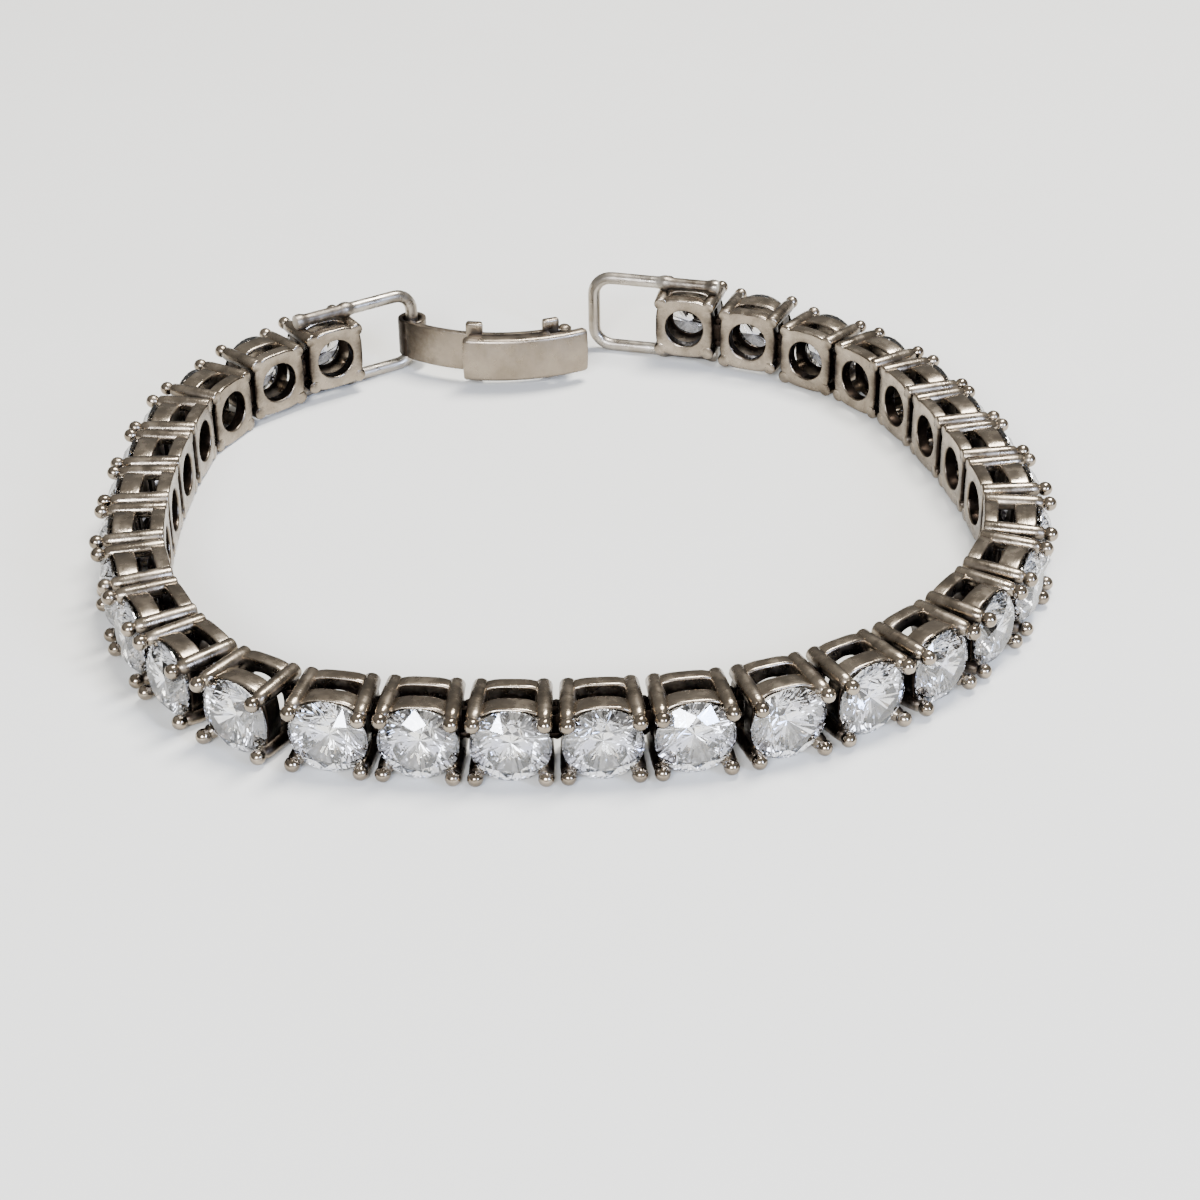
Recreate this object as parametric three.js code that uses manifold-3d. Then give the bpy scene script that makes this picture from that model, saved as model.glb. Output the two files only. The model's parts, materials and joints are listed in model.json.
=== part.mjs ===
// A tennis bracelet lying open in a round on a flat surface: thirty round stones, each in a
// four-prong setting hinged to the next, a wire loop soldered on each end, and a fold-over clasp
// that hangs on the left loop with its cover closed. Millimetres, +Z up; the origin is the middle
// of the bracelet's box, on the surface that it lies on.
//
// Each link has its own frame: x along the row, y outward through the stone's table, z up.

import * as THREE from 'three';
import { mergeVertices } from 'three/addons/utils/BufferGeometryUtils.js';
import Module from 'manifold-3d';

// ---- driving dimensions ----

const linkCount = 30;
const linksPerRow = 3;
const pitch = 5.2; // hinge to hinge

const stoneAcross = 4.9; // across the girdle
const stoneSides = 8;
const girdleLow = 2.75; // distances outward from the link's hinge line
const girdleHigh = 2.95;
const tableOut = 3.65;
const tableRadius = 1.4;
const culetOut = 0.65;

const post = { towardStone: 0.6, across: 0.8 };
const postRise = 1.95; // posts stand this far above and below the middle
const postInner = { out: -0.95, along: 1.83 };
const postOuter = { out: 3.86, along: 2.15 };

const postTop = postRise + (post.towardStone + post.across) / 2 * Math.SQRT1_2;

const rail = { outside: 2.12, hole: 1.6 }; // from the middle to its flats
const lowerRail = { from: -0.95, to: 0 };
const upperRail = { from: 1.1, to: 2.0 };

const tongueHeight = 1.3; // the hinge tongue between two lower rails
const tongueDeep = 0.8;
const tongueBite = 0.3; // how far it runs into each rail
const runningGap = 0.3;

const wire = 0.95; // end loops
const loopReach = 7.65; // from the end link's middle to the loop's far side
const loopOut = 1.0;
const loopSolder = 0.08;
const loopLegStart = -2.3;
const loopCorner = 1.6;

const clasp = {
  chord: 12.5, // from the leaf's root to the cover's hinge pin
  bend: 11.7, // radius that the base leaf is bent to
  turn: -7.7, // degrees from the x axis
  middle: 2.6, // height of its middle above the surface
};
const base = { thick: 0.6, height: 3.1, startPastRoot: 0.65, stopBeforePin: 1.3 };
const knuckle = { outer: 1.1, height: 2.9 }; // rolled back from the leaf's root, round the loop
const tab = { width: 1.3, rise: 0.9 };
const tabsFromRoot = [5.5, 11.4]; // to each tab's near edge, along the leaf
const cover = { thick: 0.9, height: 3.45, lift: 0.6, fromRoot: 5.6, pastPin: 1.1 };
const barrel = { outer: 0.85, height: 1.7, neck: 0.9 };
const pin = { radius: 0.3, earRadius: 0.55, earThick: 0.4 };
const earOverlap = 0.2; // how far each ear's arm runs into the leaf

// How the row bends round on the surface, from the right end to the left end.
const stretches = [
  { name: 'right end', hinges: 1, turn: 8.5 },
  { name: 'back right', hinges: 3, turn: 15 },
  { name: 'right side', hinges: 3, turn: 5 },
  { name: 'front right corner', hinges: 2, turn: 15.5 },
  { name: 'front right', hinges: 5, turn: 11.5 },
  { name: 'front', hinges: 4, turn: 5 },
  { name: 'front left corner', hinges: 2, turn: 21 },
  { name: 'left side, near', hinges: 3, turn: 10.5 },
  { name: 'left side, far', hinges: 3, turn: 4.5 },
  { name: 'back left', hinges: 2, turn: 19.5 },
  { name: 'left end', hinges: 1, turn: 10 },
];
const firstHeading = -14.5; // degrees; the right end link's row direction from the x axis

// ---- materials ----

const metal = { color: 0x968a7a, roughness: 0.34, metalness: 1 };
const crystal = { color: 0xf2f4ff, roughness: 0.03, metalness: 0 };

// ---- solids ----

const samePoint = 1e-4; // corners closer than this are one
const sliver = 1e-3; // edges shorter than this are dropped after a union

const wasm = await Module();
wasm.setup();

function solidOf(geometry) {
  const bare = geometry.clone();
  bare.deleteAttribute('normal');
  bare.deleteAttribute('uv');
  const merged = mergeVertices(bare, samePoint);
  return new wasm.Manifold(new wasm.Mesh({
    numProp: 3,
    vertProperties: new Float32Array(merged.attributes.position.array),
    triVerts: new Uint32Array(merged.index.array),
  }));
}

function geometryOf(solid) {
  const mesh = solid.getMesh();
  const geometry = new THREE.BufferGeometry();
  geometry.setAttribute('position', new THREE.BufferAttribute(new Float32Array(mesh.vertProperties), 3));
  geometry.setIndex(new THREE.BufferAttribute(new Uint32Array(mesh.triVerts), 1));
  geometry.computeVertexNormals();
  return geometry;
}

function union(geometries) {
  const [first, ...others] = geometries.map(solidOf);
  return others.reduce((sum, next) => sum.add(next), first).asOriginal().simplify(sliver);
}

function namedMesh(name, geometry, look) {
  const mesh = new THREE.Mesh(geometry, new THREE.MeshStandardMaterial(look));
  mesh.name = name;
  return mesh;
}

// A ring or a solid of revolution about y, with flat sides facing x and z.
function turned(points, sides) {
  const reach = 1 / Math.cos(Math.PI / sides);
  const profile = points.map(([across, out]) => new THREE.Vector2(across * reach, out));
  return new THREE.LatheGeometry(profile, sides).rotateY(Math.PI / sides);
}

// ---- one stone: table, crown, girdle and pavilion of a round brilliant ----

function stoneGeometry() {
  const radius = stoneAcross / 2;
  const outline = [
    [0, culetOut],
    [radius, girdleLow],
    [radius, girdleHigh],
    [tableRadius, tableOut],
    [0, tableOut],
  ];
  return turned(outline, stoneSides);
}

// ---- one setting: four posts through two rails ----

function postGeometry(alongSide, upSide) {
  const length = postOuter.out - postInner.out;
  const splay = Math.atan2(postOuter.along - postInner.along, length);
  return new THREE.BoxGeometry(post.towardStone, length, post.across)
    .rotateY(-alongSide * upSide * Math.PI / 4)
    .rotateZ(-alongSide * splay)
    .translate(
      alongSide * (postInner.along + postOuter.along) / 2,
      (postInner.out + postOuter.out) / 2,
      upSide * postRise,
    );
}

function square(half, Kind) {
  const corners = [[half, half], [-half, half], [-half, -half], [half, -half]];
  return new Kind(corners.map(([x, y]) => new THREE.Vector2(x, y)));
}

// A band round the stone's underside, with a flat side between each two posts.
function railGeometry({ from, to }) {
  const outline = square(rail.outside, THREE.Shape);
  outline.holes.push(square(rail.hole, THREE.Path));
  return new THREE.ExtrudeGeometry(outline, { depth: to - from, bevelEnabled: false })
    .rotateX(-Math.PI / 2)
    .translate(0, from, 0);
}

function settingSolid() {
  const pieces = [railGeometry(lowerRail), railGeometry(upperRail)];
  for (const alongSide of [-1, 1]) {
    for (const upSide of [-1, 1]) pieces.push(postGeometry(alongSide, upSide));
  }
  return union(pieces);
}

// ---- end loop: a bent wire whose two legs lie on the end setting's posts ----

function endLoopGeometry(side) {
  const high = postTop - loopSolder + wire;
  const far = loopReach + wire / 2;
  const inner = loopCorner - wire;
  const outline = new THREE.Shape();
  outline.moveTo(loopLegStart, -high);
  outline.lineTo(far - loopCorner, -high);
  outline.absarc(far - loopCorner, loopCorner - high, loopCorner, -Math.PI / 2, 0, false);
  outline.absarc(far - loopCorner, high - loopCorner, loopCorner, 0, Math.PI / 2, false);
  outline.lineTo(loopLegStart, high);
  outline.lineTo(loopLegStart, high - wire);
  outline.absarc(far - loopCorner, high - loopCorner, inner, Math.PI / 2, 0, true);
  outline.absarc(far - loopCorner, loopCorner - high, inner, 0, -Math.PI / 2, true);
  outline.lineTo(loopLegStart, wire - high);
  outline.closePath();
  const edge = wire * (1 - Math.SQRT1_2);
  const flat = wire - 2 * edge;
  const bevel = { bevelThickness: edge, bevelSize: edge, bevelOffset: -edge, bevelSegments: 1 };
  const geometry = new THREE.ExtrudeGeometry(outline, { depth: flat, curveSegments: 2, ...bevel });
  geometry.translate(0, 0, -flat / 2).rotateX(Math.PI / 2).translate(0, loopOut, 0);
  return side > 0 ? geometry : geometry.rotateZ(Math.PI).translate(0, 2 * loopOut, 0);
}

const loopDrop = postTop - loopSolder + wire; // loop's lowest side under the middle

// ---- where each link lies ----

// The loops are taller than the settings, so each end of the row is held up on them, and the
// play of the hinges brings the row down to the surface over the next links.
function linkLift(index) {
  const fromEnd = Math.min(index, linkCount - 1 - index);
  return (loopDrop - stoneAcross / 2) * Math.max(0, 1 - fromEnd / 2);
}

function linkPlaces() {
  const turns = stretches.flatMap(({ hinges, turn }) => Array(hinges).fill(turn));
  let heading = THREE.MathUtils.degToRad(firstHeading);
  let x = 0;
  let y = 0;
  const places = [{ x, y, heading }];
  for (const turn of turns) {
    const next = heading - THREE.MathUtils.degToRad(turn);
    const between = (heading + next) / 2;
    x += pitch * Math.cos(between);
    y += pitch * Math.sin(between);
    heading = next;
    places.push({ x, y, heading });
  }
  return places.map((place, index) => ({ ...place, z: stoneAcross / 2 + linkLift(index) }));
}

function frameOf({ x, y, z, heading }) {
  return new THREE.Matrix4().makeRotationZ(heading).setPosition(x, y, z);
}

// ---- a row of settings, joined by their hinge tongues ----

// The tongue from one link towards the next, in the frame half-way between them.
function tongueGeometry(from, to, reachesAcross) {
  const gap = pitch - 2 * rail.outside;
  const start = -gap / 2 - tongueBite;
  const end = reachesAcross ? gap / 2 + tongueBite : gap / 2 - runningGap;
  const middle = {
    x: (from.x + to.x) / 2,
    y: (from.y + to.y) / 2,
    z: (from.z + to.z) / 2,
    heading: (from.heading + to.heading) / 2,
  };
  return new THREE.BoxGeometry(end - start, tongueDeep, tongueHeight)
    .translate((start + end) / 2, (lowerRail.from + lowerRail.to) / 2, 0)
    .applyMatrix4(frameOf(middle));
}

function rowGeometry(places, first) {
  const setting = geometryOf(settingSolid());
  const last = first + linksPerRow - 1;
  const middle = frameOf(places[first + 1]);
  const pieces = [];
  for (let index = first; index <= last; index += 1) {
    const frame = frameOf(places[index]);
    pieces.push(setting.clone().applyMatrix4(frame));
    if (index === 0) pieces.push(endLoopGeometry(-1).applyMatrix4(frame));
    if (index === linkCount - 1) pieces.push(endLoopGeometry(1).applyMatrix4(frame));
    else pieces.push(tongueGeometry(places[index], places[index + 1], index < last));
  }
  const geometry = geometryOf(union(pieces));
  return { geometry: geometry.applyMatrix4(middle.clone().invert()), place: places[first + 1] };
}

// ---- the clasp, in a frame with its leaf's root at the origin and its hinge pin on +x ----

const bendHalfAngle = Math.asin(clasp.chord / 2 / clasp.bend);
const bendMiddle = new THREE.Vector2(clasp.chord / 2, clasp.bend * Math.cos(bendHalfAngle));
const rootAngle = -Math.PI / 2 - bendHalfAngle;
const pinAngle = -Math.PI / 2 + bendHalfAngle;
const knuckleMiddle = new THREE.Vector2(Math.cos(rootAngle), Math.sin(rootAngle))
  .multiplyScalar(clasp.bend + base.thick / 2 - knuckle.outer)
  .add(bendMiddle);
const pinMiddle = new THREE.Vector2(clasp.chord, 0);
const bendStep = 9; // degrees to each facet of a bent strip

// Angle of a point this far along the leaf from its root.
function leafAngle(distance) {
  return rootAngle + distance / clasp.bend;
}

// A strip bent to the clasp's curve, between two radii, two angles and two heights.
function bentStrip(inside, outside, startAngle, endAngle, low, high) {
  const outline = new THREE.Shape();
  outline.absarc(0, 0, outside, startAngle, endAngle, false);
  outline.absarc(0, 0, inside, endAngle, startAngle, true);
  outline.closePath();
  const degrees = THREE.MathUtils.radToDeg(endAngle - startAngle);
  const steps = Math.max(1, Math.round(degrees / bendStep));
  return new THREE.ExtrudeGeometry(outline, { depth: high - low, curveSegments: steps, bevelEnabled: false })
    .translate(bendMiddle.x, bendMiddle.y, low);
}

// An upright round post or sleeve, centred at x and y.
function upright({ x, y }, outer, hole, low, high) {
  const outline = new THREE.Shape();
  outline.absarc(0, 0, outer, 0, 2 * Math.PI, false);
  if (hole > 0) outline.holes.push(new THREE.Path().absarc(0, 0, hole, 0, 2 * Math.PI, true));
  return new THREE.ExtrudeGeometry(outline, { depth: high - low, curveSegments: 5, bevelEnabled: false })
    .translate(x, y, low);
}

function claspBaseGeometry() {
  const inside = clasp.bend - base.thick / 2;
  const outside = clasp.bend + base.thick / 2;
  const half = base.height / 2;
  const leafStart = leafAngle(base.startPastRoot);
  const leafEnd = pinAngle - base.stopBeforePin / clasp.bend;
  const ear = half - pin.earThick;
  const knuckleHalf = knuckle.height / 2;
  const pieces = [
    bentStrip(inside, outside, leafStart, leafEnd, -half, half),
    upright(knuckleMiddle, knuckle.outer, wire / 2 + runningGap, -knuckleHalf, knuckleHalf),
    upright(pinMiddle, pin.radius, 0, -half, half),
  ];
  const armStart = leafEnd - earOverlap / clasp.bend;
  for (const [low, high] of [[ear, half], [-half, -ear]]) {
    pieces.push(bentStrip(inside, outside, armStart, pinAngle, low, high));
    pieces.push(upright(pinMiddle, pin.earRadius, 0, low, high));
  }
  for (const distance of tabsFromRoot) {
    const ends = [leafAngle(distance), leafAngle(distance + tab.width)];
    pieces.push(bentStrip(inside, outside, ...ends, ear, half + tab.rise));
    pieces.push(bentStrip(inside, outside, ...ends, -half - tab.rise, -ear));
  }
  return geometryOf(union(pieces));
}

function claspCoverGeometry() {
  const inside = clasp.bend + base.thick / 2 + cover.lift;
  const outside = inside + cover.thick;
  const half = cover.height / 2;
  const sleeveHalf = barrel.height / 2;
  const neckHalf = barrel.neck / 2 / clasp.bend;
  const neckEnds = [pinAngle - neckHalf, pinAngle + neckHalf];
  const plateEnd = pinAngle + cover.pastPin / clasp.bend;
  const neckInside = clasp.bend + (pin.radius + runningGap + barrel.outer) / 2;
  const pieces = [
    bentStrip(inside, outside, leafAngle(cover.fromRoot), plateEnd, -half, half),
    bentStrip(neckInside, (inside + outside) / 2, ...neckEnds, -sleeveHalf, sleeveHalf),
    upright(pinMiddle, barrel.outer, pin.radius + runningGap, -sleeveHalf, sleeveHalf),
  ];
  return geometryOf(union(pieces));
}

// ---- assembly ----

function twoDigits(number) {
  return String(number).padStart(2, '0');
}

function place(mesh, { x, y, z, heading }) {
  mesh.position.set(x, y, z);
  mesh.rotation.z = heading;
  return mesh;
}

const bracelet = new THREE.Group();
const places = linkPlaces();

for (let first = 0; first < linkCount; first += linksPerRow) {
  const row = rowGeometry(places, first);
  const number = 1 + first / linksPerRow;
  bracelet.add(place(namedMesh(`settings_row_${twoDigits(number)}`, row.geometry, metal), row.place));
}

const stone = stoneGeometry();
places.forEach((linkPlace, index) => {
  const mesh = namedMesh(`stone_${twoDigits(index + 1)}`, geometryOf(solidOf(stone)), crystal);
  bracelet.add(place(mesh, linkPlace));
});

// The clasp's knuckle turns on the far side of the left loop.
const endLink = places[linkCount - 1];
const loopSide = new THREE.Vector3(loopReach, loopOut, 0).applyMatrix4(frameOf(endLink));
const claspTurn = THREE.MathUtils.degToRad(clasp.turn);
const root = new THREE.Vector2(loopSide.x, loopSide.y)
  .sub(knuckleMiddle.clone().rotateAround(new THREE.Vector2(), claspTurn));
const claspGroup = new THREE.Group();
claspGroup.position.set(root.x, root.y, clasp.middle);
claspGroup.rotation.z = claspTurn;
claspGroup.add(namedMesh('clasp_base', claspBaseGeometry(), metal));
claspGroup.add(namedMesh('clasp_cover', claspCoverGeometry(), metal));
bracelet.add(claspGroup);

// Centre the whole on its box, with its underside at z = 0.
const extent = new THREE.Box3().setFromObject(bracelet, true);
const centre = extent.getCenter(new THREE.Vector3());
bracelet.position.set(-centre.x, -centre.y, -extent.min.z);

export default bracelet;
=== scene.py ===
import json
import math
import random

import bmesh
import bpy
from mathutils import Matrix, Vector


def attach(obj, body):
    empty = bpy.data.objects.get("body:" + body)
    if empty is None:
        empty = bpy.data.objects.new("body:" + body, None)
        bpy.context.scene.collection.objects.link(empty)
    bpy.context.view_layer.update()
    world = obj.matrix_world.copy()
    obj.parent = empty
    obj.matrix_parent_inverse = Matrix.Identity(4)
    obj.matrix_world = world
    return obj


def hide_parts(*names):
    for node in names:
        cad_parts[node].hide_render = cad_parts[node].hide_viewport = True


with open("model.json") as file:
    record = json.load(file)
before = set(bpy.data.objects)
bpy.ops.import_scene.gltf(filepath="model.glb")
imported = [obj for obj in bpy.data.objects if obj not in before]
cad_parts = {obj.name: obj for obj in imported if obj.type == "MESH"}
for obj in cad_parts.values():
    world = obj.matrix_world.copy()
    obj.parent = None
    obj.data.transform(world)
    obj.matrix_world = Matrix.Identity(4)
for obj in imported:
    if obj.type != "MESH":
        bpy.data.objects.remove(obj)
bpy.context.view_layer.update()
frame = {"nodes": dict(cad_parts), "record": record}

random.seed(14)

# ---------------------------------------------------------------------------------------------
# The chain's line. Every stone's solid points outward from its culet to its table, so each link
# has a frame of its own: x along the row, y outward through the table, and z up.
# ---------------------------------------------------------------------------------------------

MM = 0.001
LINK_COUNT = 30
LINKS_PER_ROW = 3
CULET_OUT = 0.65 * MM  # from the link's hinge line to its stone's point


def level_frame(origin, outward):
    """A frame at origin with its y along outward and its z up."""
    y_axis = Vector((outward.x, outward.y, 0)).normalized()
    x_axis = y_axis.cross(Vector((0, 0, 1)))
    turn = Matrix((x_axis, y_axis, (0, 0, 1))).transposed().to_4x4()
    return Matrix.Translation(origin) @ turn


def link_frame(number):
    """The frame of one link, from the line between its stone's culet and table."""
    corners = [vertex.co for vertex in frame["nodes"][f"stone_{number:02d}"].data.vertices]
    middle = sum(corners, Vector()) / len(corners)
    level = [corner for corner in corners if abs(corner.z - middle.z) < 0.02 * MM]
    culet = min(level, key=lambda corner: corner.xy.length)
    table = max(level, key=lambda corner: corner.xy.length)
    outward = (table - culet).normalized()
    return level_frame(culet - outward * CULET_OUT, outward)


links = [link_frame(number) for number in range(1, LINK_COUNT + 1)]


def row_node(number):
    """The solid that holds this link's setting."""
    return f"settings_row_{1 + (number - 1) // LINKS_PER_ROW:02d}"


# ---------------------------------------------------------------------------------------------
# The settings. Each is cast silver under a rhodium flash: a round band at the back, another
# under the girdle, and four round posts outside them whose ends are burred into beads over the
# stone. The flash has worn warm grey, painted shade and brown oxide darken the corners, and the
# high spots shine.
# ---------------------------------------------------------------------------------------------

BAND_STEPS = 48
POST_STEPS = 14
BAND_ROUNDING = 0.16 * MM
ROUND_WITHIN = 1.65 * MM  # a band is round inside this and cushion-shaped outside SQUARE_PAST
SQUARE_PAST = 2.05 * MM

# Each band's section, as (from the stone's axis, outward), and how square its outside is.
BACK_BAND = [(1.48, -0.95), (2.38, -0.95), (2.41, 0.0), (1.48, 0.0)]
BACK_SQUARENESS = 3.7
SEAT_BAND = [(1.25, 1.1), (2.34, 1.1), (2.41, 2.46), (2.16, 2.5)]
SEAT_SQUARENESS = 3.1
ALONG_SHARE = 0.95  # how much narrower the bands are along the row than they are tall

POST_RADIUS = 0.53 * MM
POST_BACK = Vector((1.84, -0.97, 1.9)) * MM
BEAD_MIDDLE = Vector((2.1, 3.4, 1.86)) * MM
BEAD_RADIUS = 0.5 * MM
NECK_RADIUS = 0.465 * MM  # the post just behind its bead
BEAD_WANDER = 0.05 * MM  # how far the setter's burr leaves each bead from its place
POST_WANDER = 0.03 * MM
BEAD_STEPS = (-52, -32, -10, 12, 34, 54, 72, 86)  # degrees round each bead from its neck

# Where the painted shade and oxide lie. Each pair is where a change starts and where it ends.
BEAD_RUBBED = (3.2 * MM, 3.6 * MM)
BORE_EDGE = (1.8 * MM, 2.3 * MM)
BACK_FACE = (-0.92 * MM, -0.8 * MM)
WINDOW_LOW = (-0.1 * MM, 0.05 * MM)
WINDOW_HIGH = (1.0 * MM, 1.2 * MM)
GAP_SIDE = (1.9 * MM, 2.2 * MM)
GAP_HEIGHT = (1.5 * MM, 2.2 * MM)
BACK_SHADE_LIFT = 0.75  # share of the bore's painted shade and oxide lifted off the back face
# painted shade and oxide in the windows between the bands and in the gaps between links
WINDOW_SHADE_AND_OXIDE = 0.4
GAP_SHADE_AND_OXIDE = 0.85


def smooth_step(low, high, value):
    share = min(1, max(0, (value - low) / (high - low)))
    return share * share * (3 - 2 * share)


def depth_in_setting(point):
    """How much painted shade and oxide darken a point: from below 0 on the bead tips that rub, to 1 in
    the windows and the gaps between links.
    """
    if point.y > BEAD_RUBBED[0]:
        return -smooth_step(*BEAD_RUBBED, point.y)
    inside = 1 - smooth_step(*BORE_EDGE, math.hypot(point.x, point.z))
    on_back = 1 - smooth_step(*BACK_FACE, point.y)
    window = smooth_step(*WINDOW_LOW, point.y) * (1 - smooth_step(*WINDOW_HIGH, point.y))
    between = smooth_step(*GAP_SIDE, abs(point.x)) * (1 - smooth_step(*GAP_HEIGHT, abs(point.z)))
    return min(1, inside * (1 - BACK_SHADE_LIFT * on_back) + WINDOW_SHADE_AND_OXIDE * window + GAP_SHADE_AND_OXIDE * between)


def rounded(corners, rounding, steps=3):
    """The closed outline through these corners, each of them rounded off."""
    outline = []
    for index, corner in enumerate(corners):
        before = corners[index - 1] - corner
        after = corners[(index + 1) % len(corners)] - corner
        start = corner + before.normalized() * min(rounding, before.length * 0.45)
        end = corner + after.normalized() * min(rounding, after.length * 0.45)
        for step in range(steps + 1):
            share = step / steps
            outline.append(start * (1 - share) ** 2 + corner * 2 * share * (1 - share) + end * share**2)
    return outline


def add_skin(mesh, rows, closed_rows=False):
    """Faces across rows of points. Each row closes on itself, and the rows do if closed_rows."""
    made = [[mesh.verts.new(point) for point in row] for row in rows]
    for index in range(len(rows) if closed_rows else len(rows) - 1):
        this_row = made[index]
        next_row = made[(index + 1) % len(made)]
        for column in range(len(this_row)):
            beside = (column + 1) % len(this_row)
            mesh.faces.new((this_row[column], this_row[beside], next_row[beside], next_row[column]))
    return made


def add_tube(mesh, rows):
    """A skin with its first and last rows closed."""
    made = add_skin(mesh, rows)
    mesh.faces.new(made[0])
    mesh.faces.new(made[-1])


def circle_at(middle, radius, first, second, steps):
    turns = (2 * math.pi * step / steps for step in range(steps))
    return [middle + (first * math.cos(turn) + second * math.sin(turn)) * radius for turn in turns]


def add_bar(mesh, start, end, widths, steps=POST_STEPS):
    """A round bar. widths lists (distance from start, radius)."""
    axis = (end - start).normalized()
    first = axis.orthogonal().normalized()
    second = axis.cross(first)
    rows = [circle_at(start + axis * along, radius, first, second, steps) for along, radius in widths]
    add_tube(mesh, rows)


def add_band(mesh, section, squareness):
    """A band round the stone's axis, round inside and cushion-shaped outside."""
    outline = rounded([Vector(corner) * MM for corner in section], BAND_ROUNDING)
    rows = []
    for step in range(BAND_STEPS):
        turn = 2 * math.pi * (step + 0.5) / BAND_STEPS
        along = math.sin(turn)
        up = math.cos(turn)
        cushion = (abs(along) ** squareness + abs(up) ** squareness) ** (-1 / squareness)
        row = []
        for across, out in outline:
            square = smooth_step(ROUND_WITHIN, SQUARE_PAST, across)
            reach = across * (1 + square * (cushion - 1))
            narrow = 1 + square * (ALONG_SHARE - 1)
            row.append(Vector((along * reach * narrow, out, up * reach)))
        rows.append(row)
    add_skin(mesh, rows, closed_rows=True)


def post_widths(length):
    """The radius along a post: a blunt back end, a long straight, a neck and a round bead."""
    widths = [(0, POST_RADIUS * 0.78), (0.04 * MM, POST_RADIUS * 0.93), (0.12 * MM, POST_RADIUS)]
    widths += [(length * 0.4, POST_RADIUS * 1.02), (length * 0.75, POST_RADIUS * 0.97)]
    widths.append((length - BEAD_RADIUS * 1.15, NECK_RADIUS))
    for degrees in BEAD_STEPS:
        turn = math.radians(degrees)
        widths.append((length + BEAD_RADIUS * math.sin(turn), BEAD_RADIUS * math.cos(turn)))
    return widths


def add_posts(mesh):
    """The four posts, each a little out of true as the setter's burr left it."""
    for along_side in (-1, 1):
        for up_side in (-1, 1):
            side = Matrix.Diagonal((along_side, 1, up_side))
            back = side @ POST_BACK + Vector((random.uniform(-1, 1), 0, 0)) * POST_WANDER
            bead = side @ BEAD_MIDDLE + Vector([random.uniform(-1, 1) for _ in range(3)]) * BEAD_WANDER
            add_bar(mesh, back, bead, post_widths((bead - back).length))


def make_piece(name, mesh, place, material, sharp_above=40, depth=None):
    """An object from a bmesh, with how deep each point lies stored on it for the painted shade and
    oxide.
    """
    bmesh.ops.recalc_face_normals(mesh, faces=mesh.faces)
    data = bpy.data.meshes.new(name)
    mesh.to_mesh(data)
    mesh.free()
    if depth:
        shade_and_oxide_depth = data.attributes.new("shade_and_oxide_depth", "FLOAT", "POINT")
        shade_and_oxide_depth.data.foreach_set("value", [depth(vertex.co) for vertex in data.vertices])
    data.materials.append(material)
    data.shade_smooth()
    data.set_sharp_from_angle(angle=math.radians(sharp_above))
    piece = bpy.data.objects.new(name, data)
    piece.matrix_world = place
    bpy.context.scene.collection.objects.link(piece)
    return piece


def add_node(material, kind, x, y, **settings):
    """A node at x, y. Each setting is one of its properties, or an input with _ for a space."""
    node = material.node_tree.nodes.new(kind)
    node.location = (x, y)
    for name, value in settings.items():
        if hasattr(node, name):
            setattr(node, name, value)
        else:
            node.inputs[name.replace("_", " ")].default_value = value
    return node


def join_nodes(material, *pairs):
    for source, target in pairs:
        material.node_tree.links.new(source, target)


MIX_A, MIX_B, MIX_OUT = 6, 7, 2  # a Mix node's colour sockets


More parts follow.
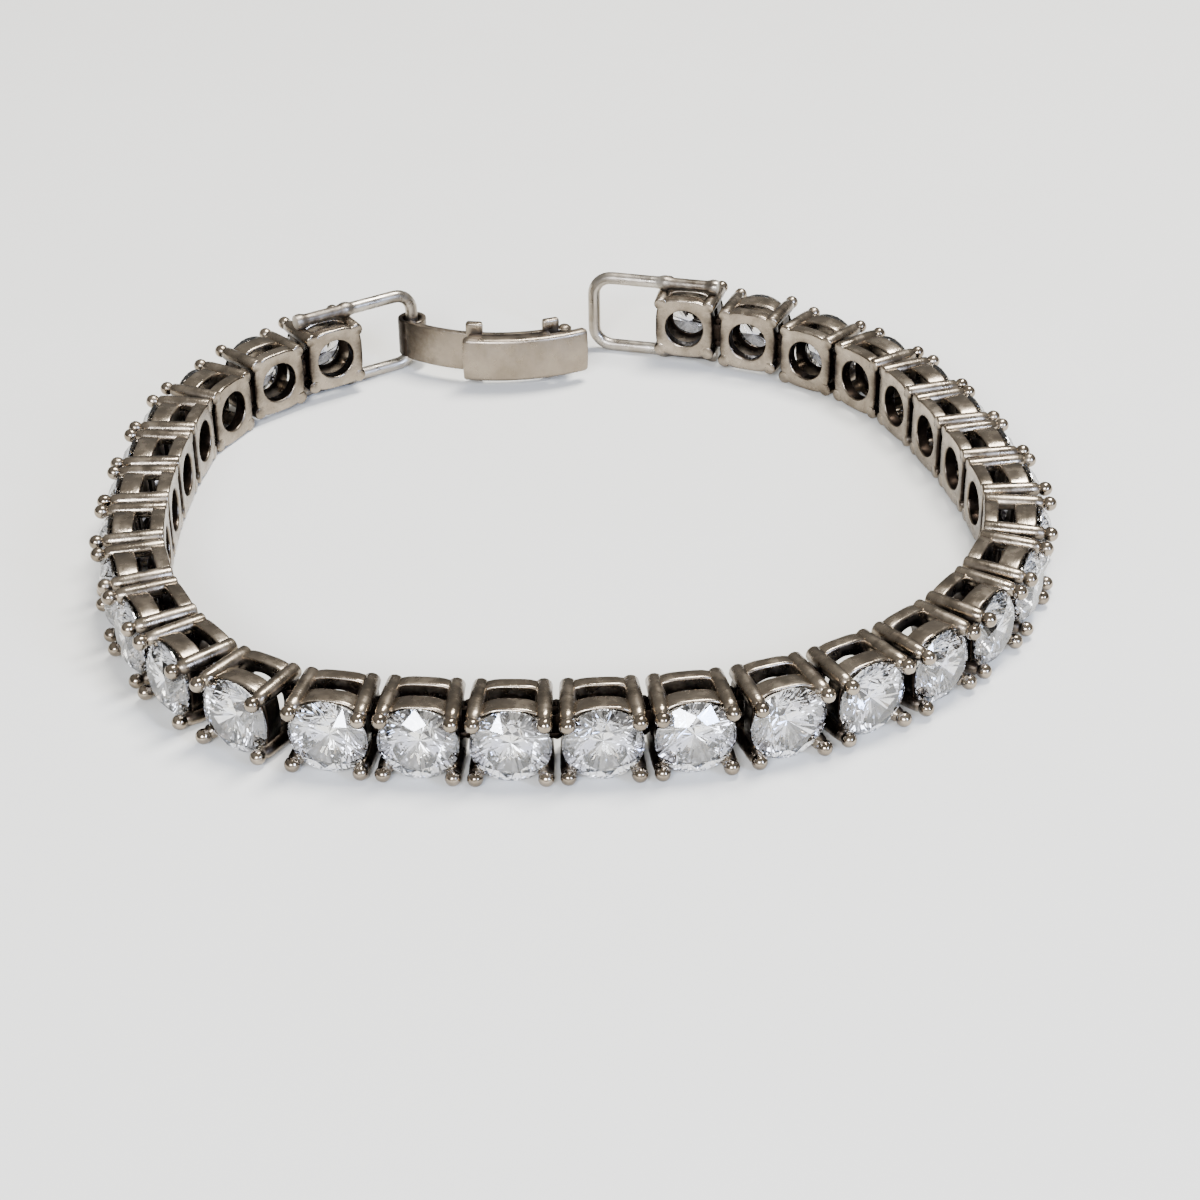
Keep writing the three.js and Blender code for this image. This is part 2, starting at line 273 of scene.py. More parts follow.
def worn_metal(name, rubbed, dull, shade_and_oxide, roughness, grain=(1, 6, 6)):
    """Metal whose flash has worn in clouds, its corners darkened to a near-black brown as painted shade
    and oxide.
    """
    material = bpy.data.materials.new(name)
    material.use_nodes = True
    shader = material.node_tree.nodes["Principled BSDF"]
    shader.inputs["Metallic"].default_value = 1

    place = add_node(material, "ShaderNodeTexCoord", -1500, 0)
    own = add_node(material, "ShaderNodeObjectInfo", -1500, 300)
    apart = add_node(material, "ShaderNodeVectorMath", -1300, 200, operation="ADD")
    clouds = add_node(material, "ShaderNodeTexNoise", -1100, 350, Scale=380, Detail=5, Roughness=0.65)
    clouding = add_node(material, "ShaderNodeMapRange", -900, 350, From_Min=0.36, From_Max=0.66)
    stain = add_node(material, "ShaderNodeMix", -650, 350, data_type="RGBA")
    stain.inputs[MIX_A].default_value = (*rubbed, 1)
    stain.inputs[MIX_B].default_value = (*dull, 1)

    # painted shade and oxide: the stored depth darkens corners, windows and gaps towards the near-black
    # colour
    shade_and_oxide_depth = add_node(material, "ShaderNodeAttribute", -1100, 50, attribute_name="shade_and_oxide_depth")
    ragged = add_node(material, "ShaderNodeTexNoise", -1100, -150, Scale=1400, Detail=6, Roughness=0.7)
    deep = add_node(material, "ShaderNodeMath", -880, 0, operation="MULTIPLY_ADD")
    deep.inputs[1].default_value = 0.8
    shade_and_oxide_share = add_node(material, "ShaderNodeMapRange", -680, 0, From_Min=0.5, From_Max=1.25)
    shade_and_oxide_mix = add_node(material, "ShaderNodeMix", -400, 250, data_type="RGBA")
    shade_and_oxide_mix.inputs[MIX_B].default_value = (*shade_and_oxide, 1)

    patches = add_node(material, "ShaderNodeTexNoise", -1100, -400, Scale=1100, Detail=4)
    worn = add_node(material, "ShaderNodeMapRange", -880, -400, From_Min=0.3, From_Max=0.7)
    worn.inputs["To Min"].default_value = roughness - 0.1
    worn.inputs["To Max"].default_value = roughness + 0.16
    rough = add_node(material, "ShaderNodeMath", -650, -350, operation="MULTIPLY_ADD")
    rough.inputs[1].default_value = 0.13

    pits = add_node(material, "ShaderNodeTexVoronoi", -1100, -650, Scale=3000)
    pitted = add_node(material, "ShaderNodeMapRange", -880, -650, From_Min=0, From_Max=0.35)
    drawn = add_node(material, "ShaderNodeMapping", -1300, -900, Scale=grain)
    hairs = add_node(material, "ShaderNodeTexNoise", -1100, -900, Scale=1200, Detail=3)
    relief = add_node(material, "ShaderNodeMath", -650, -750, operation="MULTIPLY_ADD")
    relief.inputs[1].default_value = 0.3
    bump = add_node(material, "ShaderNodeBump", -400, -700, Strength=0.6, Distance=0.02 * MM)

    join_nodes(
        material,
        (place.outputs["Object"], apart.inputs[0]),
        (own.outputs["Random"], apart.inputs[1]),
        (apart.outputs[0], clouds.inputs["Vector"]),
        (clouds.outputs["Fac"], clouding.inputs["Value"]),
        (clouding.outputs["Result"], stain.inputs[0]),
        (apart.outputs[0], ragged.inputs["Vector"]),
        (ragged.outputs["Fac"], deep.inputs[0]),
        (shade_and_oxide_depth.outputs["Fac"], deep.inputs[2]),
        (deep.outputs[0], shade_and_oxide_share.inputs["Value"]),
        (shade_and_oxide_share.outputs["Result"], shade_and_oxide_mix.inputs[0]),
        (stain.outputs[MIX_OUT], shade_and_oxide_mix.inputs[MIX_A]),
        (shade_and_oxide_mix.outputs[MIX_OUT], shader.inputs["Base Color"]),
        (apart.outputs[0], patches.inputs["Vector"]),
        (patches.outputs["Fac"], worn.inputs["Value"]),
        (shade_and_oxide_depth.outputs["Fac"], rough.inputs[0]),
        (worn.outputs["Result"], rough.inputs[2]),
        (rough.outputs[0], shader.inputs["Roughness"]),
        (apart.outputs[0], pits.inputs["Vector"]),
        (pits.outputs["Distance"], pitted.inputs["Value"]),
        (apart.outputs[0], drawn.inputs["Vector"]),
        (drawn.outputs["Vector"], hairs.inputs["Vector"]),
        (pitted.outputs["Result"], relief.inputs[0]),
        (hairs.outputs["Fac"], relief.inputs[2]),
        (relief.outputs[0], bump.inputs["Height"]),
        (bump.outputs["Normal"], shader.inputs["Normal"]),
    )
    return material


setting_metal = worn_metal(
    "worn_setting",
    rubbed=(0.37, 0.31, 0.24),
    dull=(0.2, 0.162, 0.12),
    # the near-black colour of the painted shade and oxide in the setting's corners
    shade_and_oxide=(0.016, 0.011, 0.008),
    roughness=0.21,
)


def make_setting(number):
    mesh = bmesh.new()
    add_band(mesh, BACK_BAND, BACK_SQUARENESS)
    add_band(mesh, SEAT_BAND, SEAT_SQUARENESS)
    add_posts(mesh)
    return make_piece(
        f"setting_{number:02d}", mesh, links[number - 1], setting_metal, depth=depth_in_setting
    )


for number in range(1, LINK_COUNT + 1):
    setting = make_setting(number)
    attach(setting, "bracelet")
    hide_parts(row_node(number))

# ---------------------------------------------------------------------------------------------
# The stones. Clear round brilliants of cubic zirconia, 4.9 mm across, machine cut with 57 facets
# and polished; each drops into its band's seat and the four beads hold it by the crown.
# ---------------------------------------------------------------------------------------------

STONE_RADIUS = 2.44 * MM
GIRDLE_LOW = 2.72 * MM
GIRDLE_HIGH = 2.8 * MM
TABLE_OUT = 3.52 * MM
TABLE_RADIUS = 1.4 * MM
STAR_OUT = 3.32 * MM  # where star, kite and upper girdle facets meet
STAR_RADIUS = 1.86 * MM
LOWER_RADIUS = 0.5 * MM  # where the lower girdle facets end, near the culet
MAINS = 8


def brilliant(turned):
    """A round brilliant cut, its axis along y. turned is its turn about that axis."""
    mesh = bmesh.new()

    def ring_of(count, radius, out, offset):
        ring = []
        for index in range(count):
            turn = turned + 2 * math.pi * (index + offset) / count
            ring.append(mesh.verts.new((math.sin(turn) * radius, out, math.cos(turn) * radius)))
        return ring

    table = ring_of(MAINS, TABLE_RADIUS, TABLE_OUT, 0)
    stars = ring_of(MAINS, STAR_RADIUS, STAR_OUT, 0.5)
    upper = ring_of(MAINS * 4, STONE_RADIUS, GIRDLE_HIGH, 0)
    lower = ring_of(MAINS * 4, STONE_RADIUS, GIRDLE_LOW, 0)
    depth = GIRDLE_LOW - CULET_OUT
    tails = ring_of(MAINS, LOWER_RADIUS, CULET_OUT + depth * LOWER_RADIUS / STONE_RADIUS * 1.02, 0.5)
    culet = mesh.verts.new((0, CULET_OUT, 0))

    mesh.faces.new(table)
    for index in range(MAINS):
        after = (index + 1) % MAINS
        here = index * 4
        mesh.faces.new((table[index], table[after], stars[index]))  # star
        mesh.faces.new((table[index], stars[index], upper[here], stars[index - 1]))  # kite
        half = here + 2
        quarter = [upper[(here + step) % (MAINS * 4)] for step in range(5)]
        mesh.faces.new((stars[index], quarter[2], quarter[1], quarter[0]))  # upper girdle
        mesh.faces.new((stars[index], quarter[4], quarter[3], quarter[2]))
        below = [lower[(here + step) % (MAINS * 4)] for step in range(5)]
        for step in range(4):
            mesh.faces.new((quarter[step], quarter[step + 1], below[step + 1], below[step]))
        mesh.faces.new((tails[index], below[0], below[1], below[2]))  # lower girdle
        mesh.faces.new((tails[index], below[2], below[3], below[4]))
        mesh.faces.new((culet, tails[index - 1], below[0], tails[index]))  # pavilion main
    return mesh


def clear_stone():
    """Cubic zirconia: clear, hard reflections, its fire painted as faint lavender and yellow tints in
    its colour, grease on its crown.
    """
    material = bpy.data.materials.new("cubic_zirconia")
    material.use_nodes = True
    shader = material.node_tree.nodes["Principled BSDF"]
    shader.inputs["Transmission Weight"].default_value = 1
    shader.inputs["IOR"].default_value = 2.15
    shader.inputs["Specular IOR Level"].default_value = 0.5

    place = add_node(material, "ShaderNodeTexCoord", -1100, 0)
    # painted fire: noise tints the clear stone lavender and pale yellow to stand for its coloured
    # flashes
    painted_fire_noise = add_node(material, "ShaderNodeTexNoise", -850, 150, Scale=520, Detail=1)
    painted_fire_ramp = add_node(material, "ShaderNodeValToRGB", -600, 150)
    stops = painted_fire_ramp.color_ramp.elements
    stops[0].position = 0.4
    stops[0].color = (0.84, 0.86, 1, 1)
    stops[1].position = 0.6
    stops[1].color = (1, 0.97, 0.87, 1)
    plain = stops.new(0.5)
    plain.color = (1, 1, 1, 1)
    film = add_node(material, "ShaderNodeTexNoise", -850, -150, Scale=700, Detail=5, Roughness=0.7)
    greased = add_node(material, "ShaderNodeMapRange", -600, -150, From_Min=0.5, From_Max=0.75)
    greased.inputs["To Min"].default_value = 0.0
    greased.inputs["To Max"].default_value = 0.07
    scratches = add_node(material, "ShaderNodeTexNoise", -850, -400, Scale=2600, Detail=3)
    bump = add_node(material, "ShaderNodeBump", -600, -400, Strength=0.12, Distance=0.002 * MM)
    join_nodes(
        material,
        (place.outputs["Object"], painted_fire_noise.inputs["Vector"]),
        (painted_fire_noise.outputs["Fac"], painted_fire_ramp.inputs["Fac"]),
        (painted_fire_ramp.outputs["Color"], shader.inputs["Base Color"]),
        (place.outputs["Object"], film.inputs["Vector"]),
        (film.outputs["Fac"], greased.inputs["Value"]),
        (greased.outputs["Result"], shader.inputs["Roughness"]),
        (place.outputs["Object"], scratches.inputs["Vector"]),
        (scratches.outputs["Fac"], bump.inputs["Height"]),
        (bump.outputs["Normal"], shader.inputs["Normal"]),
    )
    return material


stone_clear = clear_stone()
for number in range(1, LINK_COUNT + 1):
    cut = brilliant(random.uniform(0, 2 * math.pi))
    stone = make_piece(f"brilliant_{number:02d}", cut, links[number - 1], stone_clear, sharp_above=1)
    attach(stone, "bracelet")
    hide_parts(f"stone_{number:02d}")

# ---------------------------------------------------------------------------------------------
# The hinges. A flat tongue brazed behind each setting reaches back between the next link's
# bands, and a short wire pin through both holds the two together and lets them swing.
# ---------------------------------------------------------------------------------------------

TONGUE_UP = 0.62 * MM
TONGUE_LOW_OUT = -0.42 * MM
TONGUE_HIGH_OUT = 0.42 * MM
TONGUE_START = 1.75 * MM  # from this link's middle
TONGUE_CORNER = 0.36 * MM
PIN_RADIUS = 0.26 * MM
PIN_HALF = 1.32 * MM
FORK_UP = 1.12 * MM
FORK_THICK = 0.34 * MM
FORK_ROOT = 1.7 * MM
FORK_HALF = 0.36 * MM
FORK_CORNER = 0.3 * MM
TONGUE_PAST_PIN = 0.42 * MM
PIN_EASE = 0.08 * MM
PIN_END = 0.7  # the pin's ends are this share of its width
EDGE_EASE = 0.06 * MM
# painted shade and oxide darken the whole hinge, which sits in the gap between links
HINGE_SHADE_AND_OXIDE = 0.9


def add_slab(mesh, corners, low, high, rounding):
    """A flat plate, its outline given as (along, out), from z low to z high, edges eased."""
    ease = min(EDGE_EASE, (high - low) * 0.3)
    outline = rounded([Vector(corner) for corner in corners], rounding)
    middle = sum(outline, Vector((0, 0))) / len(outline)
    inner = [corner + (middle - corner).normalized() * ease for corner in outline]
    rows = []
    for flat, height in ((inner, low), (outline, low + ease), (outline, high - ease), (inner, high)):
        rows.append([Vector((corner.x, corner.y, height)) for corner in flat])
    add_tube(mesh, rows)


def make_hinge(number):
    """The tongue, fork and pin between this link and the next, in this link's frame."""
    here = links[number - 1]
    there = links[number]
    mesh = bmesh.new()
    pin = (here.inverted() @ there.translation) / 2
    reach = pin.x + TONGUE_PAST_PIN
    tongue = [
        (TONGUE_START, TONGUE_LOW_OUT),
        (reach, pin.y + TONGUE_LOW_OUT),
        (reach, pin.y + TONGUE_HIGH_OUT),
        (TONGUE_START, TONGUE_HIGH_OUT),
    ]
    add_slab(mesh, tongue, pin.z - TONGUE_UP, pin.z + TONGUE_UP, TONGUE_CORNER)

    low = pin - Vector((0, 0, PIN_HALF))
    high = pin + Vector((0, 0, PIN_HALF))
    length = 2 * PIN_HALF
    widths = [(0, PIN_RADIUS * PIN_END), (PIN_EASE, PIN_RADIUS)]
    widths += [(length - PIN_EASE, PIN_RADIUS), (length, PIN_RADIUS * PIN_END)]
    add_bar(mesh, low, high, widths)

    root = here.inverted() @ there @ Vector((-FORK_ROOT, 0, 0))
    fork = [
        (pin.x - FORK_HALF, pin.y - FORK_HALF),
        (root.x, root.y - FORK_HALF),
        (root.x, root.y + FORK_HALF),
        (pin.x - FORK_HALF, pin.y + FORK_HALF),
    ]
    for side in (-1, 1):
        level = pin.z + side * (FORK_UP - FORK_THICK / 2)
        add_slab(mesh, fork, level - FORK_THICK / 2, level + FORK_THICK / 2, FORK_CORNER)
    return make_piece(
        f"hinge_{number:02d}", mesh, here, setting_metal, depth=lambda point: HINGE_SHADE_AND_OXIDE
    )


for number in range(1, LINK_COUNT):
    hinge = make_hinge(number)
    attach(hinge, "bracelet")
    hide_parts(row_node(number))

# ---------------------------------------------------------------------------------------------
# The end loops. A U of round silver wire is soldered along the outer posts of each end link and
# stands square past the row's end, where it hooks the clasp.
# ---------------------------------------------------------------------------------------------

WIRE_RADIUS = 0.475 * MM
WIRE_STEPS = 16
LEG_STEPS = 40
LOOP_OUT = 1.0 * MM
LOOP_REACH = 7.65 * MM  # to the middle of the wire's far side
LOOP_UP = 2.84 * MM  # the legs' middle above the row's middle
LOOP_START = -2.25 * MM
LOOP_CORNER = 1.45 * MM
SOLDER_ALONG = 1.93 * MM  # where each leg crosses the end link's posts
SOLDER_SWELL = 0.13 * MM
SOLDER_RUN = (0.1 * MM, 0.6 * MM)
LOOP_CORNER_STEPS = 8
# painted shade and oxide darken the wire near the end link's posts
LOOP_SHADE_AND_OXIDE = 0.6
LOOP_SHADE_AND_OXIDE_EDGE = (1.5 * MM, 3.0 * MM)


def loop_line(away):
    """The wire's middle line. away is 1 past the link's x and -1 before it."""
    corners = [(LOOP_START, LOOP_UP), (LOOP_REACH, LOOP_UP)]
    corners += [(LOOP_REACH, -LOOP_UP), (LOOP_START, -LOOP_UP)]
    line = [Vector(corners[0])]
    for index in (1, 2):
        corner = Vector(corners[index])
        start = corner + (Vector(corners[index - 1]) - corner).normalized() * LOOP_CORNER
        end = corner + (Vector(corners[index + 1]) - corner).normalized() * LOOP_CORNER
        middle = start + end - corner
        for step in range(LOOP_CORNER_STEPS + 1):
            turn = math.pi / 2 * step / LOOP_CORNER_STEPS
            line.append(middle + (corner - end) * math.cos(turn) + (corner - start) * math.sin(turn))
    line.append(Vector(corners[3]))
    return [Vector((along * away, LOOP_OUT, up)) for along, up in line]


def wire_radius(point):
    """The wire swells where solder has run between it and a post."""
    from_post = abs(abs(point.x) - SOLDER_ALONG)
    return WIRE_RADIUS + SOLDER_SWELL * (1 - smooth_step(*SOLDER_RUN, from_post))


def add_wire(mesh, line, steps=WIRE_STEPS):
    """A round wire along a line of points."""
    rows = []
    side = None
    for index, point in enumerate(line):
        before = line[max(0, index - 1)]
        after = line[min(len(line) - 1, index + 1)]
        along = (after - before).normalized()
        if side is None:
            side = along.orthogonal().normalized()
        side = (side - along * side.dot(along)).normalized()
        rows.append(circle_at(point, wire_radius(point), side, along.cross(side), steps))
    add_tube(mesh, rows)


def depth_on_loop(point):
    """Painted shade and oxide darken the wire round the solder, along the link's posts, and the bare
    wire past it rubs.
    """
    return LOOP_SHADE_AND_OXIDE * (1 - smooth_step(*LOOP_SHADE_AND_OXIDE_EDGE, abs(point.x)))


loop_metal = worn_metal(
    "worn_loop_wire",
    rubbed=(0.46, 0.42, 0.36),
    dull=(0.3, 0.255, 0.2),
    # the near-black colour of the painted shade and oxide near the posts
    shade_and_oxide=(0.04, 0.028, 0.02),
    roughness=0.3,
)

for name, number, away in (("end_loop_first", 1, -1), ("end_loop_last", LINK_COUNT, 1)):
    mesh = bmesh.new()
    line = loop_line(away)
    first_leg = [line[0].lerp(line[1], step / LEG_STEPS) for step in range(LEG_STEPS)]
    last_leg = [line[-2].lerp(line[-1], (step + 1) / LEG_STEPS) for step in range(LEG_STEPS)]
    add_wire(mesh, first_leg + line[1:-1] + last_leg)
    loop = make_piece(name, mesh, links[number - 1], loop_metal, depth=depth_on_loop)
    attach(loop, "bracelet")
    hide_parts(row_node(number))

# ---------------------------------------------------------------------------------------------
# The clasp's base. One strip of silver sheet bent to the wrist's curve: its left end is rolled
# back round the loop's wire, two pairs of tabs stand on its edges to snap into the cover, and
# two ears at its right end carry the riveted hinge pin. Painted shade and oxide darken the roll.
# ---------------------------------------------------------------------------------------------

CHORD = 12.5 * MM  # from the leaf's root to the hinge pin
BEND = 11.7 * MM  # the leaf's middle line
CLASP_TURN = math.radians(-7.7)  # its chord's turn on the surface
LEAF_THICK = 0.55 * MM
LEAF_HALF = 1.55 * MM
ROLL_OUTER = 1.1 * MM
ROLL_WALL = 0.36 * MM
ROLL_HALF = 1.48 * MM
ROLL_SEAM = math.radians(24)
TABS_FROM_ROOT = (5.5 * MM, 11.4 * MM)
TAB_WIDE = 1.3 * MM
TAB_RISE = 0.9 * MM
TAB_PROUD = 0.02 * MM  # a tab is this much thicker than the leaf on each face
LEAF_START = 0.3 * MM
LEAF_STOP = 1.3 * MM  # the leaf ends this far before the pin
EAR_HIGH = 0.4 * MM
EAR_RADIUS = 0.55 * MM
HINGE_PIN_RADIUS = 0.3 * MM
PIN_HEAD_RADIUS = 0.44 * MM
PIN_PAST_EAR = 0.16 * MM
EAR_EASE = 0.07 * MM
ARM_OVERLAP = 0.2 * MM  # how far each ear's arm runs into the leaf
ROLL_START = math.radians(20)  # where the roll leaves the leaf's root
NEAR_ROLL = (0.6 * MM, 4.2 * MM)
IN_ROLL = (-0.2 * MM, 0.9 * MM)
# painted shade and oxide in the roll and on the leaf near it
NEAR_ROLL_SHADE_AND_OXIDE = 0.45
IN_ROLL_SHADE_AND_OXIDE = 0.5

bend_half = math.asin(CHORD / 2 / BEND)
bend_middle = Vector((CHORD / 2, BEND * math.cos(bend_half)))
root_angle = -math.pi / 2 - bend_half
pin_angle = -math.pi / 2 + bend_half

joints = frame["record"]["behaviour"]["joints"]
cover_hinge = next(joint for joint in joints if joint["name"] == "cover_hinge")
clasp_place = (
    Matrix.Translation(cover_hinge["pos_m"])
    @ Matrix.Rotation(CLASP_TURN, 4, "Z")
    @ Matrix.Translation((-CHORD, 0, 0))
)


def leaf_angle(distance):
    """The bend's angle this far along the leaf from its root."""
    return root_angle + distance / BEND


def strip_section(inner, outer, low, high, rounding, crown=0):
    """A sheet's cut end as (from the bend's middle, height), its outer face crowned."""
    crest = (outer + crown, (low + high) / 2)
    corners = [(inner, low), (outer, low), crest, (outer, high), (inner, high)]
    return rounded([Vector(corner) for corner in corners], rounding)


def add_bent_strip(mesh, middle, section, start, end, steps, ease=0.1 * MM):
    """Sheet bent round middle from one angle to another, with its two cut ends eased."""
    centre = sum(section, Vector((0, 0))) / len(section)
    eased = ease / centre.x
    stations = [(start, ease), (start + eased * 0.3, ease * 0.3), (start + eased, 0)]
    straight = end - start - 2 * eased
    stations += [(start + eased + straight * step / steps, 0) for step in range(1, steps)]
    stations += [(end - eased, 0), (end - eased * 0.3, ease * 0.3), (end, ease)]
    rows = []
    for angle, inset in stations:
        row = []
        for corner in section:
            inward = centre - corner
            reach = corner.x + math.copysign(min(inset, abs(inward.x)), inward.x)
            height = corner.y + math.copysign(min(inset, abs(inward.y)), inward.y)
            across = reach * math.cos(angle)
            out = reach * math.sin(angle)
            row.append(Vector((middle.x + across, middle.y + out, height)))
        rows.append(row)
    add_tube(mesh, rows)


def depth_on_base(point):
    """Painted shade and oxide darken the roll and the leaf near it."""
    near_roll = 1 - smooth_step(*NEAR_ROLL, point.x)
    in_roll = 1 - smooth_step(*IN_ROLL, point.x)
    return min(1, NEAR_ROLL_SHADE_AND_OXIDE * near_roll + IN_ROLL_SHADE_AND_OXIDE * in_roll)


clasp_metal = worn_metal(
    "brushed_clasp",
    rubbed=(0.28, 0.232, 0.177),
    dull=(0.21, 0.17, 0.125),
    # the near-black colour of the painted shade and oxide in the roll and the cover's inside
    shade_and_oxide=(0.03, 0.022, 0.016),
    roughness=0.3,
    grain=(14, 14, 0.35),
)

mesh = bmesh.new()
leaf_in = BEND - LEAF_THICK / 2
leaf_out = BEND + LEAF_THICK / 2
leaf_end = pin_angle - LEAF_STOP / BEND
leaf_section = strip_section(leaf_in, leaf_out, -LEAF_HALF, LEAF_HALF, 0.12 * MM)
add_bent_strip(mesh, bend_middle, leaf_section, leaf_angle(LEAF_START), leaf_end, 30)

# The roll starts on the leaf's outer face and goes back round the wire to a narrow seam.
to_root = Vector((math.cos(root_angle), math.sin(root_angle)))
roll_middle = bend_middle + to_root * (leaf_out - ROLL_OUTER)
roll_section = strip_section(ROLL_OUTER - ROLL_WALL, ROLL_OUTER, -ROLL_HALF, ROLL_HALF, 0.1 * MM)
roll_start = root_angle + ROLL_START
roll_end = roll_start - 2 * math.pi + ROLL_SEAM
add_bent_strip(mesh, roll_middle, roll_section, roll_end, roll_start, 40)

ear_low = LEAF_HALF - EAR_HIGH
for low, high in ((ear_low, LEAF_HALF), (-LEAF_HALF, -ear_low)):
    arm = strip_section(leaf_in, leaf_out, low, high, 0.08 * MM)
    add_bent_strip(mesh, bend_middle, arm, leaf_end - ARM_OVERLAP / BEND, pin_angle, 6)
    ear_widths = [(0, EAR_RADIUS - EAR_EASE), (EAR_EASE, EAR_RADIUS)]
    ear_widths += [(EAR_HIGH - EAR_EASE, EAR_RADIUS), (EAR_HIGH, EAR_RADIUS - EAR_EASE)]
    add_bar(mesh, Vector((CHORD, 0, low)), Vector((CHORD, 0, high)), ear_widths, 24)
for from_root in TABS_FROM_ROOT:
    ends = (leaf_angle(from_root), leaf_angle(from_root + TAB_WIDE))
    for low, high in ((ear_low, LEAF_HALF + TAB_RISE), (-LEAF_HALF - TAB_RISE, -ear_low)):
        tab = strip_section(leaf_in - TAB_PROUD, leaf_out + TAB_PROUD, low, high, 0.2 * MM)
        add_bent_strip(mesh, bend_middle, tab, *ends, 4, ease=0.16 * MM)

# The pin's ends are hammered over into low heads, the same at both ends.
pin_half = LEAF_HALF + PIN_PAST_EAR
head = [(0, PIN_HEAD_RADIUS * 0.5), (0.06 * MM, PIN_HEAD_RADIUS * 0.85), (0.15 * MM, PIN_HEAD_RADIUS)]
head.append((0.17 * MM, HINGE_PIN_RADIUS))
pin_widths = head + [(2 * pin_half - along, radius) for along, radius in reversed(head)]
add_bar(mesh, Vector((CHORD, 0, -pin_half)), Vector((CHORD, 0, pin_half)), pin_widths, 20)

clasp_leaf = make_piece("clasp_leaf", mesh, clasp_place, clasp_metal, depth=depth_on_base)
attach(clasp_leaf, "bracelet")
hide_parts("clasp_base")

# ---------------------------------------------------------------------------------------------
# The clasp's cover. A thicker curved leaf, stamped with a low crown and turned-in long edges, its
# right end rolled into a sleeve on the hinge pin. It is brushed upright and its rim is rubbed.
# ---------------------------------------------------------------------------------------------

COVER_IN = BEND + 0.9 * MM
COVER_OUT = COVER_IN + 0.84 * MM
COVER_CROWN = 0.1 * MM
COVER_HALF = 1.725 * MM
COVER_START = 5.6 * MM  # along the leaf from its root
COVER_PAST_PIN = 1.1 * MM
LIP_HIGH = 0.34 * MM
LIP_IN = BEND + 0.45 * MM
LIP_INSET = 0.03 * MM
SLEEVE_OUTER = 0.82 * MM
SLEEVE_WALL = 0.42 * MM
SLEEVE_HALF = 0.85 * MM
SLEEVE_FROM = 0.2  # radians past the pin's angle, to where the sleeve's seam closes
SLEEVE_TO = 2 * math.pi - 0.05
SLEEVE_NECK = 0.9 * MM
NECK_IN = BEND + 0.55 * MM
# painted shade and oxide on the cover's inside, which faces the base
COVER_SHADE_AND_OXIDE = 0.9
COVER_SHADE_AND_OXIDE_EDGE = (COVER_IN - 0.1 * MM, COVER_IN + 0.45 * MM)
LIP_SHORT = (0.25 * MM, 1.4 * MM)  # the lips stop this short of the cover's start and of the pin
PLATE_BITE = 0.3 * MM  # how far lips and neck run into the plate


def depth_on_cover(point):
    """Painted shade and oxide darken the cover's inside, and its outer face is rubbed."""
    from_bend = (point.xy - bend_middle).length
    return COVER_SHADE_AND_OXIDE * (1 - smooth_step(*COVER_SHADE_AND_OXIDE_EDGE, from_bend))


mesh = bmesh.new()
cover_ends = (leaf_angle(COVER_START), pin_angle + COVER_PAST_PIN / BEND)
cover_section = strip_section(COVER_IN, COVER_OUT, -COVER_HALF, COVER_HALF, 0.3 * MM, COVER_CROWN)
add_bent_strip(mesh, bend_middle, cover_section, *cover_ends, 26, ease=0.2 * MM)
lip_ends = (cover_ends[0] + LIP_SHORT[0] / BEND, pin_angle - LIP_SHORT[1] / BEND)
for low in (COVER_HALF - LIP_HIGH - LIP_INSET, -COVER_HALF + LIP_INSET):
    lip = strip_section(LIP_IN, COVER_IN + PLATE_BITE, low, low + LIP_HIGH, 0.1 * MM)
    add_bent_strip(mesh, bend_middle, lip, *lip_ends, 20)
sleeve_middle = Vector((CHORD, 0))
sleeve_hole = SLEEVE_OUTER - SLEEVE_WALL
sleeve_section = strip_section(sleeve_hole, SLEEVE_OUTER, -SLEEVE_HALF, SLEEVE_HALF, 0.08 * MM)
sleeve_ends = (pin_angle + SLEEVE_FROM, pin_angle + SLEEVE_TO)
add_bent_strip(mesh, sleeve_middle, sleeve_section, *sleeve_ends, 32)
neck = strip_section(NECK_IN, COVER_IN + PLATE_BITE, -SLEEVE_HALF, SLEEVE_HALF, 0.06 * MM)
neck_half = SLEEVE_NECK / 2 / BEND
add_bent_strip(mesh, bend_middle, neck, pin_angle - neck_half, pin_angle + neck_half, 4)

clasp_lid = make_piece("clasp_lid", mesh, clasp_place, clasp_metal, depth=depth_on_cover)
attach(clasp_lid, "clasp_cover")
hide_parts("clasp_cover")

# ---------------------------------------------------------------------------------------------
# The table top, the light and the camera. Heavy white paper lies under the bracelet. A roof window
# behind and to the right lights it, with a window and a pale wall before it and blue sky at the
# side, and the camera looks down at it from the front.
# ---------------------------------------------------------------------------------------------

PAPER_SIDE = 2.4
PAPER_UNDER = 0.02 * MM

paper_mesh = bmesh.new()
bmesh.ops.create_grid(paper_mesh, x_segments=1, y_segments=1, size=PAPER_SIDE / 2)
paper = bpy.data.materials.new("white_paper")
paper.use_nodes = True
paper_shader = paper.node_tree.nodes["Principled BSDF"]
paper_shader.inputs["Roughness"].default_value = 0.75
paper_place = add_node(paper, "ShaderNodeTexCoord", -900, 0)
pulp = add_node(paper, "ShaderNodeTexNoise", -700, 100, Scale=30, Detail=6, Roughness=0.6)
pulp_tone = add_node(paper, "ShaderNodeMix", -400, 100, data_type="RGBA")
pulp_tone.inputs[MIX_A].default_value = (0.7, 0.682, 0.625, 1)
pulp_tone.inputs[MIX_B].default_value = (0.75, 0.735, 0.685, 1)
tooth = add_node(paper, "ShaderNodeTexNoise", -700, -200, Scale=2500, Detail=4)
tooth_bump = add_node(paper, "ShaderNodeBump", -400, -200, Strength=0.2, Distance=0.03 * MM)
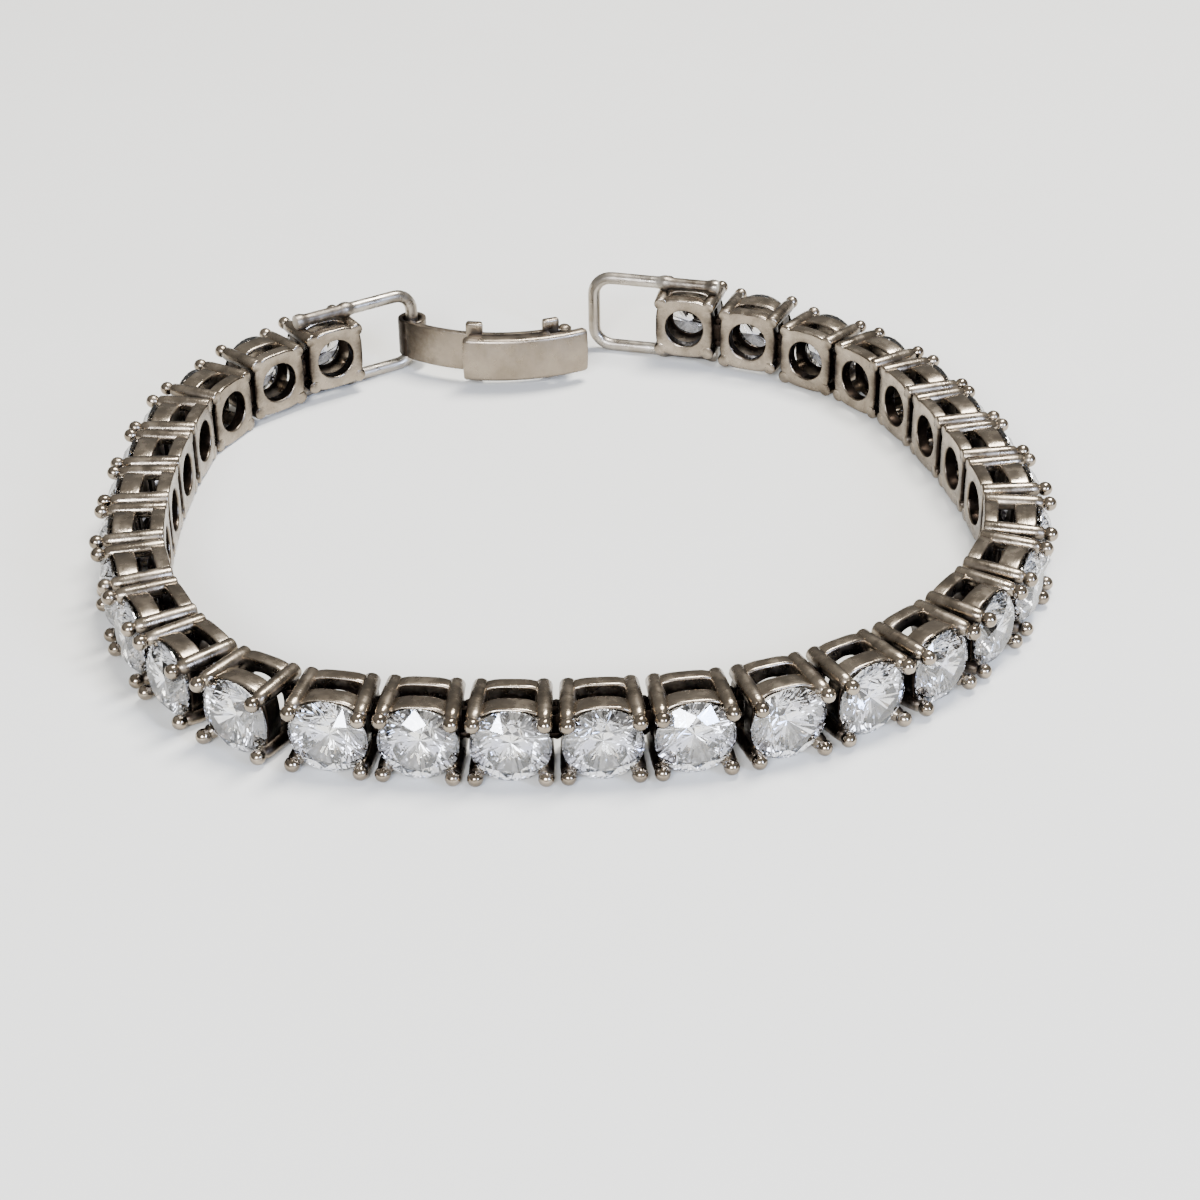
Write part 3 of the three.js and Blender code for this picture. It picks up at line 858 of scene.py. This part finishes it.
join_nodes(
    paper,
    (paper_place.outputs["Object"], pulp.inputs["Vector"]),
    (pulp.outputs["Fac"], pulp_tone.inputs[0]),
    (pulp_tone.outputs[MIX_OUT], paper_shader.inputs["Base Color"]),
    (paper_place.outputs["Object"], tooth.inputs["Vector"]),
    (tooth.outputs["Fac"], tooth_bump.inputs["Height"]),
    (tooth_bump.outputs["Normal"], paper_shader.inputs["Normal"]),
)
table_top = make_piece("table_top", paper_mesh, Matrix.Translation((0, 0, -PAPER_UNDER)), paper)

# The room round the table: a pale ceiling over walls that fall away darker.
world = bpy.data.worlds.new("room")
bpy.context.scene.world = world
world.use_nodes = True
surround = world.node_tree.nodes["Background"]
surround.inputs["Strength"].default_value = 0.5
facing = add_node(world, "ShaderNodeTexCoord", -800, 0)
upward = add_node(world, "ShaderNodeSeparateXYZ", -600, 0)
room_tone = add_node(world, "ShaderNodeValToRGB", -350, 0)
walls, ceiling = room_tone.color_ramp.elements
walls.position = 0.05
walls.color = (0.36, 0.35, 0.34, 1)
ceiling.position = 0.75
ceiling.color = (1, 0.985, 0.96, 1)
join_nodes(
    world,
    (facing.outputs["Generated"], upward.inputs[0]),
    (upward.outputs["Z"], room_tone.inputs["Fac"]),
    (room_tone.outputs["Color"], surround.inputs["Color"]),
)


def add_window(name, place, size, watts, colour):
    """A soft light of this width and height that faces the bracelet."""
    lamp = bpy.data.lights.new(name, "AREA")
    lamp.shape = "RECTANGLE"
    lamp.size, lamp.size_y = size
    lamp.energy = watts
    lamp.color = colour
    window = bpy.data.objects.new(name, lamp)
    window.location = place
    window.rotation_euler = (-Vector(place)).to_track_quat("-Z", "Y").to_euler()
    bpy.context.scene.collection.objects.link(window)


add_window("roof_window", (0.12, 0.12, 0.5), (0.14, 0.26), 6.2, (1, 0.99, 0.97))
add_window("front_window", (-0.1, -0.5, 0.3), (0.22, 0.13), 5.4, (0.84, 0.89, 1))
add_window("sky_strip", (0.32, -0.32, 0.2), (0.06, 0.16), 2.4, (0.5, 0.64, 1))
add_window("pale_wall", (0, -0.8, 0.26), (1.3, 0.42), 2.4, (0.95, 0.96, 1))

CAMERA_PLACE = Vector((1.609, -148.94, 84.45)) * MM
CAMERA_DOWN = math.radians(31.16)
CAMERA_ROLL = math.radians(-0.73)

lens = bpy.data.cameras.new("camera")
lens.sensor_width = 36
lens.lens = 74.13
lens.clip_start = 0.005
lens.clip_end = 20
camera = bpy.data.objects.new("camera", lens)
aim = Matrix.Rotation(math.pi / 2 - CAMERA_DOWN, 4, "X") @ Matrix.Rotation(CAMERA_ROLL, 4, "Z")
camera.matrix_world = Matrix.Translation(CAMERA_PLACE) @ aim
bpy.context.scene.collection.objects.link(camera)
bpy.context.scene.camera = camera
